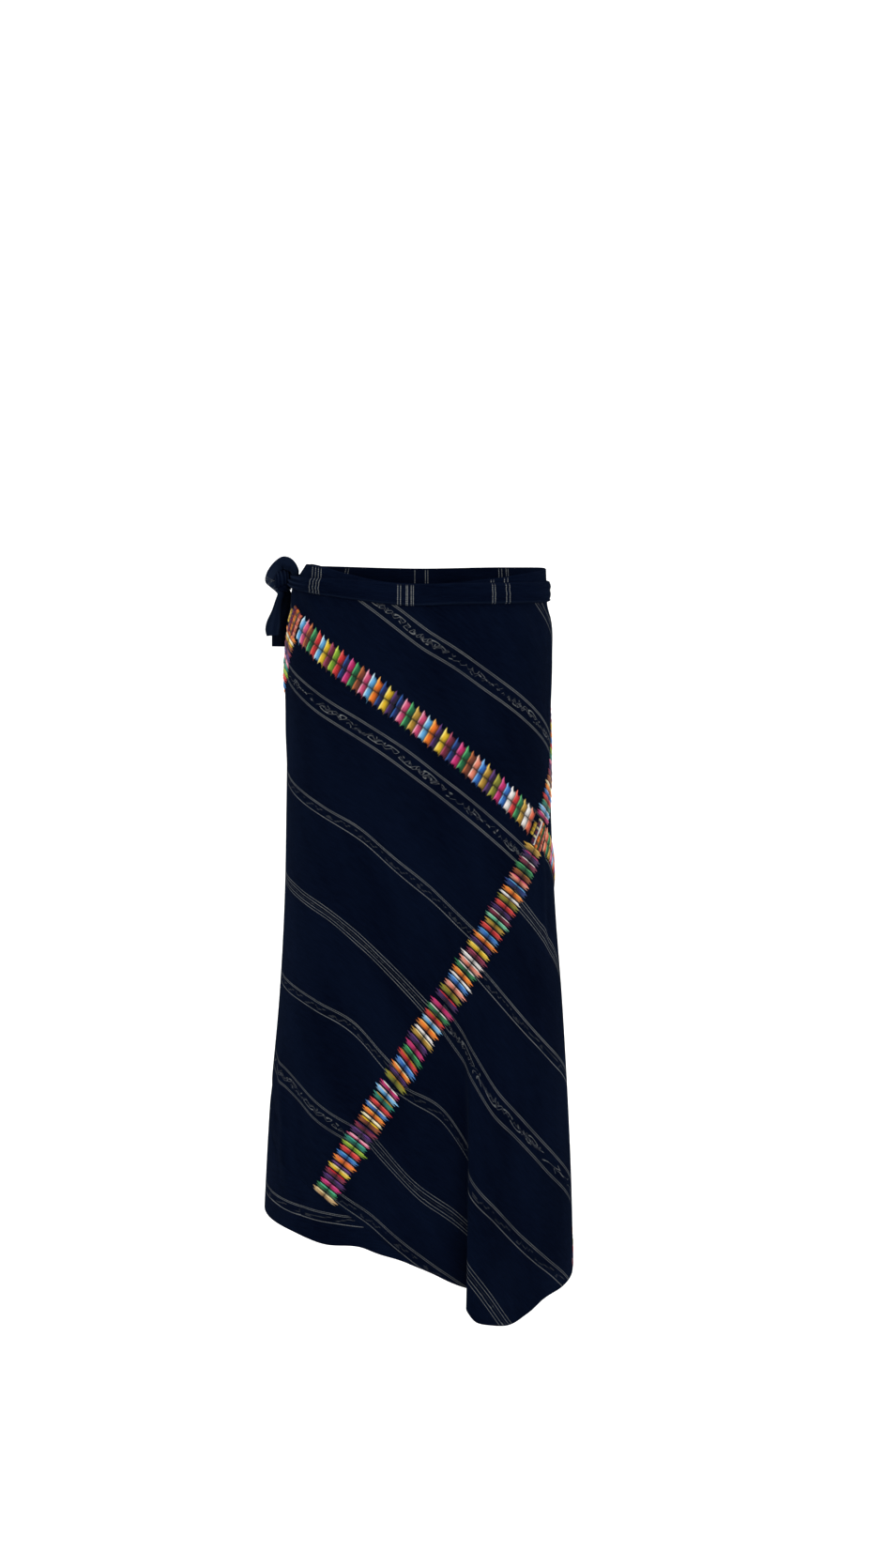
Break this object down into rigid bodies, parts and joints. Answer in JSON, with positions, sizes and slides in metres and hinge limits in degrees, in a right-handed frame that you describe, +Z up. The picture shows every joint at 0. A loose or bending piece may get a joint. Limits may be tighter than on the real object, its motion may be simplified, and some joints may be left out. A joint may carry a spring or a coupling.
{
  "type": "handwoven wrap skirt",
  "caption": "Long wrap skirt of bias-laid striped cloth, its pieces joined by raised embroidered seams, held at the waist by a wide tie knotted at the right hip.",
  "frame": {"origin": "centre of the waist, level with the middle of the tie", "axes": "+Z up the wearer, -Y out of the front, +X to the wearer's left"},
  "size_m": [0.3732, 0.2882, 0.8628],
  "materials": {
    "cloth": "matte handwoven cotton, very dark blue with pale thin stripes",
    "band": "matte handwoven cotton, very dark blue",
    "embroidery": "satin-stitched cotton thread in blocks of many colours",
    "crossing": "satin-stitched cotton thread"
  },
  "bodies": {
    "root": {"waistband": "band", "waistband_inner": "band", "tie_belt": "band", "tie_knot": "band", "tie_loop": "band", "tie_tail_outer": "band", "tie_tail_inner": "band", "panel_upper_front": "cloth", "panel_front": "cloth", "panel_side": "cloth", "panel_back": "cloth", "panel_back_low": "cloth", "panel_back_edge": "cloth", "panel_wrap_edge": "cloth", "corner_gore": "cloth", "panel_under": "cloth", "panel_under_front": "cloth", "randa_long_front": "embroidery", "randa_long_back": "embroidery", "randa_long_end": "embroidery", "randa_cross_front": "embroidery", "randa_cross_hip": "embroidery", "randa_edge": "embroidery", "randa_back_high": "embroidery", "randa_back_low": "embroidery", "crossing_front": "crossing", "crossing_edge": "crossing", "crossing_back": "crossing"}
  },
  "joints": []
}
